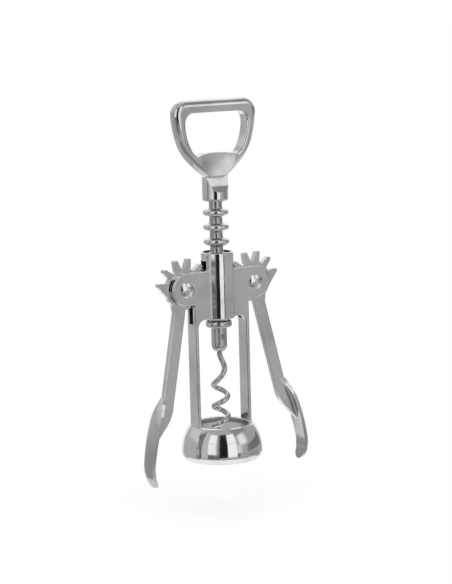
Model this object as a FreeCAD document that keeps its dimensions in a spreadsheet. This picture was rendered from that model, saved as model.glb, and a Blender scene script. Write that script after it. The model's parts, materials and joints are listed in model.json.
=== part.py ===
"""Wing corkscrew: a barrel on two legs over a bottle bell, two toothed levers, a ringed rack and a worm.

Millimetres. +Z is up along the worm, X runs from the left lever to the right one, and the origin is
the centre of the bell's lower rim. The levers are down and the rack is at the top of its travel.
"""
import FreeCAD
import Part
import math
import os
import re
import Sketcher
from FreeCAD import Placement, Rotation, Vector

# Driving dimensions: alias, value, meaning. Lengths in millimetres, angles in degrees.
SIZES = [
    ("bell_height", 16.7, "bell, from its lower rim to its upper rim"),
    ("bell_belly_radius", 20.0, "bell, largest outer radius"),
    ("bell_belly_height", 4.2, "height of the largest radius"),
    ("bell_foot_radius", 18.8, "outer radius at the lower rim"),
    ("bell_foot_curve", 6.0, "curve between lower rim and belly"),
    ("bell_side_curve", 20.5, "curve between belly and upper rim"),
    ("bell_rim_radius", 15.7, "outer radius of the upper rim"),
    ("bell_mouth_radius", 13.4, "inner radius of the upper rim"),
    ("bell_mouth_depth", 2.6, "straight length inside the upper rim"),
    ("bell_edge_round", 0.5, "rounding of the bell's rims"),
    ("seat_radius", 15.9, "bore for the bottle's mouth"),
    ("seat_depth", 7.0, "length of that bore"),
    ("barrel_below", 16.3, "barrel's lower end below the pivots"),
    ("barrel_length", 32.6, "barrel, end to end"),
    ("barrel_radius", 8.05, "barrel, outer radius"),
    ("barrel_round", 0.7, "rounding of the barrel's ends"),
    ("bore_gap", 0.08, "radial gap between rack rings and barrel"),
    ("pivot_height", 85.4, "height of the lever pivots"),
    ("plate_thickness", 2.2, "clevis plate"),
    ("plate_round", 0.7, "rounding of plates and legs"),
    ("lobe_radius", 8.1, "clevis plate round a pivot"),
    ("leg_face", 15.6, "outer face of a leg, from the axis"),
    ("leg_thickness", 2.0, "leg, across its thin side"),
    ("arch_rise", 0.4, "lower edge of the plates above the barrel's end"),
    ("arch_corner", 4.0, "corner radius between plates and legs"),
    ("slot_depth", 17.6, "lever slot, below the pivots"),
    ("window_width", 4.8, "tooth window in the barrel wall"),
    ("window_above", 12.4, "tooth window, above the pivots"),
    ("window_below", 10.9, "tooth window, below the pivots"),
    ("tenon_thickness", 1.0, "tenon on a leg's foot"),
    ("tenon_width", 5.0, "the same tenon, front to back"),
    ("tenon_length", 3.0, "the same tenon, top to bottom"),
    ("fit_gap", 0.03, "gap round tenons, rivet shanks and the worm's shank where they are fixed"),
    ("ring_pitch", 7.1, "rack rings, centre to centre"),
    ("ring_radius", 6.45, "rack rings, outer radius"),
    ("ring_thickness", 3.0, "rack rings"),
    ("ring_round", 1.45, "rounding of a ring's rim"),
    ("ring_root_round", 1.15, "fillet at a ring's root"),
    ("rack_core_radius", 3.25, "rack between its rings"),
    ("ring_count_above", 5, "rings above the pivots"),
    ("ring_count_below", 2, "rings below the pivots"),
    ("neck_offset", 5.5, "handle's lower end above the top ring"),
    ("end_play", 0.1, "gap at each end of the rack sleeve"),
    ("turning_gap", 0.05, "radial gap of parts that turn on a shank"),
    ("teeth_per_turn", 12, "teeth that would fill a whole turn of a lever head"),
    ("tooth_count", 7, "teeth on a lever head"),
    ("mesh_inset", 0.38, "pitch line inside the rings' rims"),
    ("tooth_tip_radius", 14.9, "lever head over the tooth tips"),
    ("head_radius", 9.9, "lever head at the tooth roots"),
    ("tooth_root_width", 3.5, "tooth at its root"),
    ("tooth_tip_width", 2.0, "tooth where its tip starts to round"),
    ("tooth_tip_round", 1.15, "rounding of a tooth's tip"),
    ("lever_thickness", 3.0, "lever arm and head, front to back"),
    ("lever_side_gap", 0.15, "gap between a lever and each clevis plate"),
    ("spread_angle", 13.4, "arm from the vertical, with the teeth centred in the rack"),
    ("left_slack_angle", -3.2, "how far the left lever hangs from there, in its backlash"),
    ("right_slack_angle", 1.2, "the same, right lever"),
    ("arm_inner", 2.15, "inner edge of the arm from the line through the pivot"),
    ("arm_outer", 4.15, "outer edge of the arm from that line"),
    ("arm_round", 0.6, "rounding of the arm's edges"),
    ("arm_length", 58.0, "straight inner edge of the arm, from the pivot; web and pad go on from its end"),
    ("web_belly_run", 9.0, "from there to the end of the first curve of the web"),
    ("web_belly_side", 0.2, "how far out the web's edge is there"),
    ("web_end_run", 10.5, "from there to the lower end of the web behind the pad"),
    ("pad_lap", 4.5, "upper end of the finger pad above the end of the straight edge"),
    ("pad_start_face", 3.4, "outer face of the pad there, from the line through the pivot"),
    ("pad_neck_run", 0.8, "from the end of the straight edge to where the pad's outline starts to bulge"),
    ("pad_shoulder_run", 8.7, "from the same end to where the pad has its full width"),
    ("pad_shoulder_face", 6.9, "outer face of the pad at its shoulder"),
    ("pad_bend_run", 28.0, "from the same end to where the pad starts to curl in"),
    ("pad_bend_face", 7.2, "outer face of the pad at its bend"),
    ("pad_face_curve", 105.0, "curve of that face between shoulder and bend"),
    ("pad_end_run", 39.0, "from the same end to the tip of the finger pad"),
    ("pad_curl_over", 1.4, "the curl goes on beyond the tip"),
    ("pad_curl_face", 0.2, "outer face of the pad at the end of the curl"),
    ("pad_thickness", 1.7, "finger pad, along its edges"),
    ("pad_crown", 1.0, "how much thicker the pad is in the middle"),
    ("pad_root_half", 1.7, "half width of the pad at its upper end"),
    ("pad_neck_half", 3.1, "half width of the pad where its outline starts to bulge"),
    ("pad_half", 4.9, "half width of the pad at its shoulder"),
    ("pad_tip_radius", 3.6, "rounding of the pad's tip, seen from outside"),
    ("pad_thin_run", 28.5, "from the end of the straight edge to where the pad starts to thin"),
    ("pad_thin_face", 5.6, "inner face of the pad there, from the line through the pivot"),
    ("pad_lip_run", 34.5, "from the same end to where it thins faster"),
    ("pad_lip_face", 4.1, "inner face of the pad there"),
    ("pad_tip_face", 1.2, "inner face of the pad at its tip"),
    ("rivet_radius", 2.4, "pivot rivet, shank"),
    ("rivet_head_radius", 3.9, "pivot rivet, head"),
    ("rivet_head_height", 1.5, "pivot rivet, head"),
    ("neck_radius", 6.45, "handle's neck"),
    ("neck_round", 1.2, "rounding of the neck's lower edge"),
    ("ramp_top", 12.2, "upper end of the ramps in the neck, above its lower end"),
    ("ramp_top_face", 1.9, "face of a ramp there, from the middle plane"),
    ("ramp_bend", 7.7, "where the ramps start to curve out"),
    ("ramp_bend_face", 3.95, "face of a ramp there"),
    ("ramp_foot", 4.4, "where the ramps run out"),
    ("loop_thickness", 7.2, "handle loop, front to back"),
    ("loop_foot", 12.0, "where the loop leaves the neck"),
    ("loop_slope", 34.5, "slope of the loop's underside where it leaves the neck"),
    ("loop_knee_half", 14.5, "half width of the loop where its underside starts to turn up"),
    ("loop_knee", 18.7, "height of that place"),
    ("loop_bulge_half", 21.2, "half width of the loop where its side gets steep"),
    ("loop_bulge", 29.7, "height of that place"),
    ("loop_half", 23.5, "half width of the loop at its shoulder"),
    ("loop_shoulder", 41.5, "height of the shoulder"),
    ("loop_top_half", 16.6, "half length of the straight top"),
    ("loop_top", 49.0, "height of the loop's top"),
    ("loop_round", 3.45, "rounding of the loop's outer edges"),
    ("eye_notch_half", 10.8, "half width of the opening at its notches"),
    ("eye_notch", 22.1, "height of the notches"),
    ("eye_slope", 33.0, "slope of the opening's edge at the notches"),
    ("eye_knee_half", 14.3, "half width of the opening at its knee"),
    ("eye_knee", 25.9, "height of that knee"),
    ("eye_half", 17.3, "largest half width of the opening"),
    ("eye_shoulder", 38.0, "height of the largest width"),
    ("eye_round", 1.3, "rounding of the opening's edges"),
    ("eye_top_half", 12.3, "half length of the opening's straight top"),
    ("eye_top", 42.8, "height of the opening's top"),
    ("lip_half", 9.2, "half width of the opener's lip"),
    ("lip_height", 22.8, "height of the lip's ends"),
    ("lip_curve", 70.0, "curve of the lip"),
    ("dish_radius", 25.0, "hollows in the faces below the lip"),
    ("dish_depth", 1.9, "depth of those hollows"),
    ("dish_height", 20.1, "height of their deepest point"),
    ("collar_thickness", 3.5, "collar under the barrel"),
    ("collar_gap", 0.9, "collar to the barrel's lower end"),
    ("thimble_radius", 3.9, "thimble that holds the worm"),
    ("thimble_length", 12.4, "thimble below the collar"),
    ("thimble_dome", 3.6, "height of the thimble's rounded lower end"),
    ("collar_round", 1.2, "rounding of the collar's rims"),
    ("crimp_angle", 16.0, "crimp mark, turned from the front"),
    ("wire_radius", 1.35, "worm wire"),
    ("worm_radius", 3.43, "centre line of the worm's spiral"),
    ("worm_pitch", 10.25, "worm, one turn"),
    ("worm_tip_height", 8.5, "worm's point above the bell's lower rim"),
    ("worm_tip_angle", -77.0, "direction of the point from the axis"),
    ("worm_taper", 6.2, "height over which the wire comes to a point"),
    ("worm_free_shank", 0.3, "straight shank between the spiral and the ferrule"),
    ("worm_run_out", 10.8, "height over which the spiral closes in on the axis"),
    ("worm_stretch", 8.5, "height over which its last turn is drawn out, up to that run-out"),
    ("worm_last_pitch", 30.0, "one turn at the drawn-out rate"),
    ("shank_depth", 8.0, "shank inside the handle's neck"),
]

# Values that follow from the driving dimensions.
DERIVED = {
    "clevis_width": "(lever_thickness + 2 * lever_side_gap + 2 * plate_thickness)",
    "slot_width": "(lever_thickness + 2 * lever_side_gap)",
    "gear_radius": "(ring_pitch * teeth_per_turn / (2 * pi))",
    "pivot_offset": "(ring_radius - mesh_inset + gear_radius)",
    "leg_inside": "(leg_face - leg_thickness)",
    "barrel_foot": "(pivot_height - barrel_below)",
    "arch_height": "(barrel_foot + arch_rise)",
    "collar_top": "(barrel_foot - collar_gap)",
    "sleeve_foot": "(collar_top + end_play)",
    "ferrule_foot": "(collar_top - collar_thickness - thimble_length)",
    "worm_shank_foot": "(ferrule_foot - worm_free_shank)",
    "worm_spiral_top": "(worm_shank_foot - worm_run_out)",
    "neck_foot": "(pivot_height + ring_count_above * ring_pitch + neck_offset)",
    "sleeve_top": "(neck_foot - end_play)",
    "first_tooth": "(180 + 180 / teeth_per_turn - spread_angle)",
    "last_tooth": "(first_tooth - (tooth_count - 1) * 360 / teeth_per_turn)",
    "web_belly": "(arm_length + web_belly_run)",
    "web_end": "(web_belly + web_end_run)",
    "pad_start": "(arm_length - pad_lap)",
    "pad_neck": "(arm_length + pad_neck_run)",
    "pad_shoulder": "(arm_length + pad_shoulder_run)",
    "pad_bend": "(arm_length + pad_bend_run)",
    "pad_end": "(arm_length + pad_end_run)",
    "pad_curl_end": "(pad_end + pad_curl_over)",
    "pad_run": "(pad_end - pad_tip_radius - pad_shoulder)",
    "pad_taper": "(acos(pad_tip_radius / sqrt(pad_half ^ 2 + pad_run ^ 2)) - atan(pad_run / pad_half))",
    "pad_bulge": "(2 * atan((pad_half - pad_neck_half) / (pad_shoulder - pad_neck)) + pad_taper)",
}

doc = FreeCAD.newDocument("WingCorkscrew")
sheet = doc.addObject("Spreadsheet::Sheet", "Sizes")
for row, (alias, size, meaning) in enumerate(SIZES, start=1):
    sheet.set(f"A{row}", meaning)
    sheet.set(f"B{row}", str(size))
    sheet.setAlias(f"B{row}", alias)
doc.recompute()

NAMES = {alias for alias, size, meaning in SIZES}


def bound(text):
    """The expression for a text in which aliases and derived values are plain words."""
    text = str(text)
    while any(re.search(rf"\b{name}\b", text) for name in DERIVED):
        for name, meaning in DERIVED.items():
            text = re.sub(rf"\b{name}\b", meaning, text)
    return re.sub(r"\b[a-z_]+\b", lambda word: f"Sizes.{word[0]}" if word[0] in NAMES else word[0], text)


def num(text):
    """The number that such a text stands for."""
    return float(sheet.evalExpression(bound(text)))


def new_body(label):
    """An empty body whose label is the node's name."""
    body = doc.addObject("PartDesign::Body", label)
    body.Label = label
    return body


def place(thing, x="0", y="0", z="0", tilt="0"):
    """Sets a thing's place, and its tilt about +Y in degrees."""
    thing.Placement = Placement(Vector(num(x), num(y), num(z)), Rotation(Vector(0, 1, 0), num(tilt)))
    for axis, text in zip("xyz", (x, y, z)):
        thing.setExpression(f"Placement.Base.{axis}", bound(text))
    if tilt != "0":
        thing.setExpression("Placement.Rotation.Angle", bound(tilt))


def arc_between(start, end, radius, bend):
    """A short arc from start to end: bend is 1 where it turns left and -1 where it turns right."""
    chord = end - start
    rise = math.sqrt(radius ** 2 - chord.Length ** 2 / 4)
    left = Vector(-chord.y, chord.x, 0).normalize()
    centre = (start + end) * 0.5 + left * (rise * bend)
    first, last = (start, end) if bend > 0 else (end, start)
    begin = math.atan2(first.y - centre.y, first.x - centre.x)
    stop = math.atan2(last.y - centre.y, last.x - centre.x)
    if stop < begin:
        stop += 2 * math.pi
    return Part.ArcOfCircle(Part.Circle(centre, Vector(0, 0, 1), radius), begin, stop)


def both_halves(half):
    """A symmetric outline from its right half; a last corner on the centre line has 0 as its x."""
    arcs = [()] + [corner[2:] for corner in half]
    mirrored = [(f"-({x})", y, *arc) for (x, y, *rest), arc in zip(half, arcs)]
    return half[:-1] + mirrored[::-1] if half[-1][0] == "0" else half + mirrored[::-1]


def smooth(spots, heading):
    """Arcs through the spots that join without a kink; heading is the first one's direction in degrees."""
    corners = []
    heading = f"(({heading}) * 1 deg)"
    for (x, y), (next_x, next_y) in zip(spots, spots[1:]):
        across, along = f"({next_x} - ({x}))", f"({next_y} - ({y}))"
        half = f"(atan2({along}; {across}) - {heading})"
        bend = 1 if num(half) > 0 else -1
        corners.append((x, y, f"sqrt({across} ^ 2 + {along} ^ 2) / (2 * sin({bend} * {half}))", bend))
        heading = f"(2 * atan2({along}; {across}) - {heading})"
    return corners + [spots[-1]]


def draw_chain(sketch, corners, closed=True):
    """Draws an outline or an open path. A corner is (x, y), or (x, y, radius, bend) where an arc starts."""
    spots = [Vector(num(corner[0]), num(corner[1]), 0) for corner in corners]
    pieces = []
    for index, corner in enumerate(corners if closed else corners[:-1]):
        start, end = spots[index], spots[(index + 1) % len(spots)]
        if len(corner) == 2:
            geometry = sketch.addGeometry(Part.LineSegment(start, end))
            pieces.append((geometry, 1, 2))
            continue
        radius, bend = corner[2:]
        geometry = sketch.addGeometry(arc_between(start, end, num(radius), bend))
        pieces.append((geometry, 1, 2) if bend > 0 else (geometry, 2, 1))
        rule = sketch.addConstraint(Sketcher.Constraint("Radius", geometry, num(radius)))
        sketch.setExpression(f"Constraints[{rule}]", bound(radius))
    pins = [(geometry, first) for geometry, first, last in pieces]
    if not closed:
        pins.append((pieces[-1][0], pieces[-1][2]))
    for index, (geometry, first, last) in enumerate(pieces):
        if closed or index + 1 < len(pieces):
            after, after_first = pins[(index + 1) % len(pins)]
            sketch.addConstraint(Sketcher.Constraint("Coincident", geometry, last, after, after_first))
    for (geometry, point), corner in zip(pins, corners):
        for axis, text in zip("XY", corner[:2]):
            pinned = Sketcher.Constraint(f"Distance{axis}", -1, 1, geometry, point, num(text))
            rule = sketch.addConstraint(pinned)
            sketch.setExpression(f"Constraints[{rule}]", bound(text))


def draw_circle(sketch, x, y, radius):
    """Draws a circle with its centre and radius bound to the sheet."""
    shape = Part.Circle(Vector(num(x), num(y), 0), Vector(0, 0, 1), num(radius))
    geometry = sketch.addGeometry(shape)
    for kind, text in (("X", x), ("Y", y)):
        rule = sketch.addConstraint(Sketcher.Constraint(f"Distance{kind}", -1, 1, geometry, 3, num(text)))
        sketch.setExpression(f"Constraints[{rule}]", bound(text))
    rule = sketch.addConstraint(Sketcher.Constraint("Radius", geometry, num(radius)))
    sketch.setExpression(f"Constraints[{rule}]", bound(radius))


def new_sketch(body, name, plane, loops=(), circles=(), height="0", aside="0", lift="0", path=None):
    """A sketch on one of the body's own planes, raised by height along its normal or moved within it."""
    sketch = body.newObject("Sketcher::SketchObject", name)
    base = [part for part in body.Origin.OriginFeatures if part.Role == f"{plane}_Plane"]
    sketch.AttachmentSupport = [(base[0], "")]
    sketch.MapMode = "FlatFace"
    if height != "0":
        sketch.AttachmentOffset = Placement(Vector(0, 0, num(height)), Rotation())
        sketch.setExpression("AttachmentOffset.Base.z", bound(height))
    if lift != "0":
        sketch.AttachmentOffset = Placement(Vector(num(aside), num(lift), 0), Rotation())
        sketch.setExpression("AttachmentOffset.Base.x", bound(aside))
        sketch.setExpression("AttachmentOffset.Base.y", bound(lift))
    for corners in loops:
        draw_chain(sketch, corners)
    if path:
        draw_chain(sketch, path, closed=False)
    for circle in circles:
        draw_circle(sketch, *circle)
    doc.recompute()
    return sketch


def pad(body, sketch, length, both_ways=True):
    """Adds a sketch's area as a block."""
    feature = body.newObject("PartDesign::Pad", f"{sketch.Name}_pad")
    feature.Profile = sketch
    feature.Midplane = both_ways
    feature.setExpression("Length", bound(length))
    doc.recompute()
    return feature


def pocket(body, sketch, length=None):
    """Cuts a sketch's area both ways, right through where no length is given."""
    feature = body.newObject("PartDesign::Pocket", f"{sketch.Name}_cut")
    feature.Profile = sketch
    feature.Midplane = True
    if length is None:
        feature.Type = "ThroughAll"
    else:
        feature.setExpression("Length", bound(length))
    doc.recompute()
    return feature


def turn(body, sketch, kind="Revolution"):
    """Turns a sketch once about its own upright axis."""
    feature = body.newObject(f"PartDesign::{kind}", f"{sketch.Name}_turned")
    feature.Profile = sketch
    feature.ReferenceAxis = (sketch, ["V_Axis"])
    feature.Angle = 360
    doc.recompute()
    return feature


def round_edges(body, name, radius, wanted):
    """Rounds the edges of the body's tip for which wanted(edge) holds."""
    tip = body.Tip
    names = [f"Edge{i}" for i, edge in enumerate(tip.Shape.Edges, start=1) if wanted(edge)]
    feature = body.newObject("PartDesign::Fillet", name)
    feature.Base = (tip, names)
    feature.setExpression("Radius", bound(radius))
    doc.recompute()
    return feature


def passes(edge, *spots):
    """True where the edge runs through one of the spots."""
    return any(edge.distToShape(Part.Vertex(spot))[0] < 1e-3 for spot in spots)


def near(value, target):
    """True where two lengths are the same within a micrometre."""
    return abs(value - target) < 1e-3


def lies_at(edge, axis, target):
    """True where the whole edge lies at target along an axis, given as 0, 1 or 2."""
    box = edge.BoundBox
    low = (box.XMin, box.YMin, box.ZMin)[axis]
    high = (box.XMax, box.YMax, box.ZMax)[axis]
    return near(low, target) and near(high, target)


def build_frame():
    """Barrel, clevis plates and legs in one casting."""
    body = new_body("frame_casting")
    half_arch = "leg_inside - arch_corner"
    corner_low = "arch_height - arch_corner"
    lobe_foot = "pivot_height - lobe_radius"
    lobe_top = "pivot_height + lobe_radius"
    outline = [
        (f"-({half_arch})", "arch_height"),
        (half_arch, "arch_height", "arch_corner", -1),
        ("leg_inside", corner_low),
        ("leg_inside", "bell_height"),
        ("leg_face", "bell_height"),
        ("leg_face", lobe_foot),
        ("pivot_offset", lobe_foot, "lobe_radius", 1),
        ("pivot_offset + lobe_radius", "pivot_height", "lobe_radius", 1),
        ("pivot_offset", lobe_top),
        ("-pivot_offset", lobe_top, "lobe_radius", 1),
        ("-pivot_offset - lobe_radius", "pivot_height", "lobe_radius", 1),
        ("-pivot_offset", lobe_foot),
        ("-leg_face", lobe_foot),
        ("-leg_face", "bell_height"),
        ("-leg_inside", "bell_height"),
        ("-leg_inside", corner_low, "arch_corner", -1),
    ]
    pad(body, new_sketch(body, "plates", "XZ", [outline]), "clevis_width")
    half_width = num("clevis_width") / 2
    foot = num("bell_height")

    def on_outline(edge):
        on_face = lies_at(edge, 1, half_width) or lies_at(edge, 1, -half_width)
        return on_face and not lies_at(edge, 2, foot)

    round_edges(body, "plate_rounds", "plate_round", on_outline)
    barrel = new_sketch(body, "barrel", "XY", circles=[("0", "0", "barrel_radius")], height="barrel_foot")
    pad(body, barrel, "barrel_length", both_ways=False)
    ends = (num("barrel_foot"), num("barrel_foot + barrel_length"))
    round_edges(body, "barrel_rounds", "barrel_round",
                lambda edge: lies_at(edge, 2, ends[0]) or lies_at(edge, 2, ends[1]))

    clear = "pivot_offset + lobe_radius + 1"
    above = "pivot_height + lobe_radius + 1"
    slot_floor = "pivot_height - slot_depth"
    slots = [[(f"{side} * barrel_radius", slot_floor), (f"{side} * ({clear})", slot_floor),
              (f"{side} * ({clear})", above), (f"{side} * barrel_radius", above)] for side in (1, -1)]
    pocket(body, new_sketch(body, "slots", "XZ", slots), "slot_width")
    window = [(x, y) for x, y in (
        ("-barrel_radius", "pivot_height - window_below"), ("barrel_radius", "pivot_height - window_below"),
        ("barrel_radius", "pivot_height + window_above"), ("-barrel_radius", "pivot_height + window_above"))]
    pocket(body, new_sketch(body, "windows", "XZ", [window]), "window_width")
    pocket(body, new_sketch(body, "bore", "XY", circles=[("0", "0", "ring_radius + bore_gap")]))
    holes = [(f"{side} * pivot_offset", "pivot_height", "rivet_radius + fit_gap") for side in (1, -1)]
    pocket(body, new_sketch(body, "pivot_holes", "XZ", circles=holes))
    middle = "(leg_face - leg_thickness / 2)"
    tenons = [[(f"{side} * ({middle} - tenon_thickness / 2)", "bell_height - tenon_length"),
               (f"{side} * ({middle} + tenon_thickness / 2)", "bell_height - tenon_length"),
               (f"{side} * ({middle} + tenon_thickness / 2)", "bell_height + leg_thickness"),
               (f"{side} * ({middle} - tenon_thickness / 2)", "bell_height + leg_thickness")]
              for side in (1, -1)]
    pad(body, new_sketch(body, "tenons", "XZ", tenons), "tenon_width")


def build_bell():
    """Cup that sits on the bottle's mouth, with a mortise for each leg's tenon."""
    body = new_body("bottle_bell")
    profile = [
        ("seat_radius", "0"),
        ("bell_foot_radius", "0", "bell_foot_curve", 1),
        ("bell_belly_radius", "bell_belly_height", "bell_side_curve", 1),
        ("bell_rim_radius", "bell_height"),
        ("bell_mouth_radius", "bell_height"),
        ("bell_mouth_radius", "bell_height - bell_mouth_depth"),
        ("seat_radius", "seat_depth"),
    ]
    turn(body, new_sketch(body, "bell", "XZ", [profile]))
    height = num("bell_height")
    seat = num("seat_radius + 1")
    round_edges(body, "rim_rounds", "bell_edge_round",
                lambda edge: lies_at(edge, 2, height) or lies_at(edge, 2, 0) and edge.BoundBox.XMax > seat)
    middle = "(leg_face - leg_thickness / 2)"
    half = "(tenon_thickness / 2 + fit_gap)"
    floor = "bell_height - tenon_length - fit_gap"
    mortises = [[(f"{side} * ({middle} - {half})", floor), (f"{side} * ({middle} + {half})", floor),
                 (f"{side} * ({middle} + {half})", "bell_height + 1"),
                 (f"{side} * ({middle} - {half})", "bell_height + 1")] for side in (1, -1)]
    pocket(body, new_sketch(body, "mortises", "XZ", mortises), "tenon_width + 2 * fit_gap")


def build_lever(label, side, slack):
    """A lever, drawn with its pivot at the origin and its arm pointing down, on one side of the axis."""
    body = new_body(label)

    def outline(corners):
        return [(f"{side} * ({corner[0]})", corner[1], *corner[2:3], *(side * b for b in corner[3:]))
                for corner in corners]

    def chord(across, along):
        return f"sqrt(({across}) ^ 2 + ({along}) ^ 2)"

    rise, run = "pad_bend_face - pad_shoulder_face", "pad_bend - pad_shoulder"
    half_turn = f"asin({chord(rise, run)} / (2 * pad_face_curve))"
    upper = ("pad_shoulder_face - pad_start_face", "pad_shoulder - pad_start")
    lower = ("pad_curl_face - pad_bend_face", "pad_curl_end - pad_bend")
    upper_turn = f"(atan(({upper[0]}) / ({upper[1]})) - atan(({rise}) / ({run})) - {half_turn})"
    lower_turn = f"(atan(({rise}) / ({run})) - {half_turn} - atan(({lower[0]}) / ({lower[1]})))"
    spine = [
        ("pad_start_face", "-pad_start", f"{chord(*upper)} / (2 * sin({upper_turn}))", -1),
        ("pad_shoulder_face", "-pad_shoulder", "pad_face_curve", -1),
        ("pad_bend_face", "-pad_bend", f"{chord(*lower)} / (2 * sin({lower_turn}))", -1),
        ("pad_curl_face", "-pad_curl_end"),
    ]
    path = new_sketch(body, f"{label}_pad_path", "XZ", path=outline(spine))
    wide = "(1.4 * pad_half)"
    crown = f"(({wide} ^ 2 + (1.96 * pad_crown) ^ 2) / (3.92 * pad_crown))"
    section = [
        ("pad_start_face - pad_thickness", f"-{wide}"),
        ("pad_start_face - 0.96 * pad_crown", f"-{wide}", crown, 1),
        ("pad_start_face - 0.96 * pad_crown", wide),
        ("pad_start_face - pad_thickness", wide),
    ]
    feature = body.newObject("PartDesign::AdditivePipe", f"{label}_pad")
    feature.Profile = new_sketch(body, f"{label}_pad_section", "XY", [outline(section)], height="-pad_start")
    feature.Spine = (path, [f"Edge{i}" for i in range(1, len(spine))])
    doc.recompute()
    straight = f"pad_neck - (pad_neck_half - pad_root_half) / tan(pad_bulge / 2)"
    right = [
        ("pad_root_half", "-pad_start + 2"),
        ("pad_root_half", f"-({straight})", "(pad_neck_half - pad_root_half) / (1 - cos(pad_bulge))", 1),
        ("pad_neck_half", "-pad_neck",
         f"{chord('pad_half - pad_neck_half', 'pad_shoulder - pad_neck')} / (2 * sin((pad_bulge + pad_taper) / 2))",
         -1),
        ("pad_half", "-pad_shoulder"),
        ("pad_tip_radius * cos(pad_taper)",
         "-pad_end + pad_tip_radius - pad_tip_radius * sin(pad_taper)", "pad_tip_radius", -1),
        ("0", "-pad_end"),
    ]
    beyond = "2 * pad_half"
    outside = [(f"-{beyond}", "-pad_start + 2"), (f"-{beyond}", "-pad_curl_end - 5"),
               (beyond, "-pad_curl_end - 5"), (beyond, "-pad_start + 2")]
    pocket(body, new_sketch(body, f"{label}_pad_edge", "YZ", [both_halves(right) + outside]))

    lower = "-pad_curl_end - 5"
    thin = [("pad_thin_face", "-(arm_length + pad_thin_run)"), ("pad_lip_face", "-(arm_length + pad_lip_run)"),
            ("pad_tip_face", "-pad_end"), ("pad_tip_face", lower),
            (f"-{beyond}", lower), (f"-{beyond}", "-(arm_length + pad_thin_run)")]
    pocket(body, new_sketch(body, f"{label}_pad_thinning", "XZ", [outline(thin)]))

    tip = "(tooth_tip_radius - tooth_tip_round + sqrt(tooth_tip_round ^ 2 - tooth_tip_width ^ 2 / 4))"
    aside, down = "web_belly_side + arm_inner", "web_belly - arm_length"
    lean = f"(({aside}) / ({down}))"
    arm = [
        ("-arm_inner", "0"),
        ("-arm_inner", "-arm_length", f"(({aside}) ^ 2 + ({down}) ^ 2) / (2 * ({aside}))", 1),
        ("web_belly_side", "-web_belly"),
        (f"web_belly_side + (web_end - web_belly) * 2 * {lean} / (1 - {lean} ^ 2)", "-web_end"),
        ("pad_shoulder_face - 0.5 * pad_thickness", "-pad_shoulder"),
        ("pad_start_face", "-pad_start - 2"),
        ("arm_outer", "-pad_start"),
        ("arm_outer", "-head_radius - 1.5"),
        ("arm_outer + 1.5", "-0.76 * head_radius"),
        (f"{tip} * cos(last_tooth) + tooth_tip_width / 2 * sin(last_tooth)",
         f"{tip} * sin(last_tooth) - tooth_tip_width / 2 * cos(last_tooth)"),
        ("0.8 * head_radius", "0"),
    ]
    pad(body, new_sketch(body, f"{label}_arm", "XZ", [outline(arm)]), "lever_thickness")
    half = num("lever_thickness") / 2
    height = -num("arm_length / 2")
    spots = [Vector(side * num(x), y, height) for x in ("-arm_inner", "arm_outer") for y in (half, -half)]
    round_edges(body, f"{label}_arm_rounds", "arm_round", lambda edge: passes(edge, *spots))
    head = new_sketch(body, f"{label}_head", "XZ", circles=[("0", "0", "head_radius")])
    pad(body, head, "lever_thickness")

    def at_tooth(radius, across):
        return (f"({radius}) * cos(first_tooth) - ({across}) * sin(first_tooth)",
                f"({radius}) * sin(first_tooth) + ({across}) * cos(first_tooth)")

    root = "0.95 * head_radius"
    tooth = [
        at_tooth(root, "-tooth_root_width / 2"),
        (*at_tooth(tip, "-tooth_tip_width / 2"), "tooth_tip_round", 1),
        at_tooth(tip, "tooth_tip_width / 2"),
        at_tooth(root, "tooth_root_width / 2"),
    ]
    first = pad(body, new_sketch(body, f"{label}_tooth", "XZ", [outline(tooth)]), "lever_thickness")
    pattern = body.newObject("PartDesign::PolarPattern", f"{label}_teeth")
    pattern.Originals = [first]
    pattern.Axis = ([part for part in body.Origin.OriginFeatures if part.Role == "Y_Axis"][0], [""])
    pattern.Reversed = side < 0
    pattern.setExpression("Occurrences", bound("tooth_count"))
    pattern.setExpression("Angle", bound("(tooth_count - 1) * 360 / teeth_per_turn"))
    body.Tip = pattern
    doc.recompute()
    pivot = new_sketch(body, f"{label}_pivot", "XZ", circles=[("0", "0", "rivet_radius + turning_gap")])
    pocket(body, pivot)
    place(body, f"{side} * pivot_offset", "0", "pivot_height", f"{-side} * (spread_angle + {slack})")


def build_rivet(label, side):
    """Pivot rivet with a domed head on each clevis plate."""
    body = new_body(label)
    seat = "clevis_width / 2"
    rim = "0.25 * rivet_head_height"
    rise = "(0.75 * rivet_head_height)"
    dome = f"((rivet_head_radius ^ 2 + {rise} ^ 2) / (2 * {rise}))"
    profile = [
        ("0", f"-({seat}) - rivet_head_height", dome, 1),
        ("rivet_head_radius", f"-({seat}) - {rim}"),
        ("rivet_head_radius", f"-({seat})"),
        ("rivet_radius", f"-({seat})"),
        ("rivet_radius", seat),
        ("rivet_head_radius", seat),
        ("rivet_head_radius", f"{seat} + {rim}", dome, 1),
        ("0", f"{seat} + rivet_head_height"),
    ]
    turn(body, new_sketch(body, f"{label}_profile", "XY", [profile]))
    place(body, f"{side} * pivot_offset", "0", "pivot_height")


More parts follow.
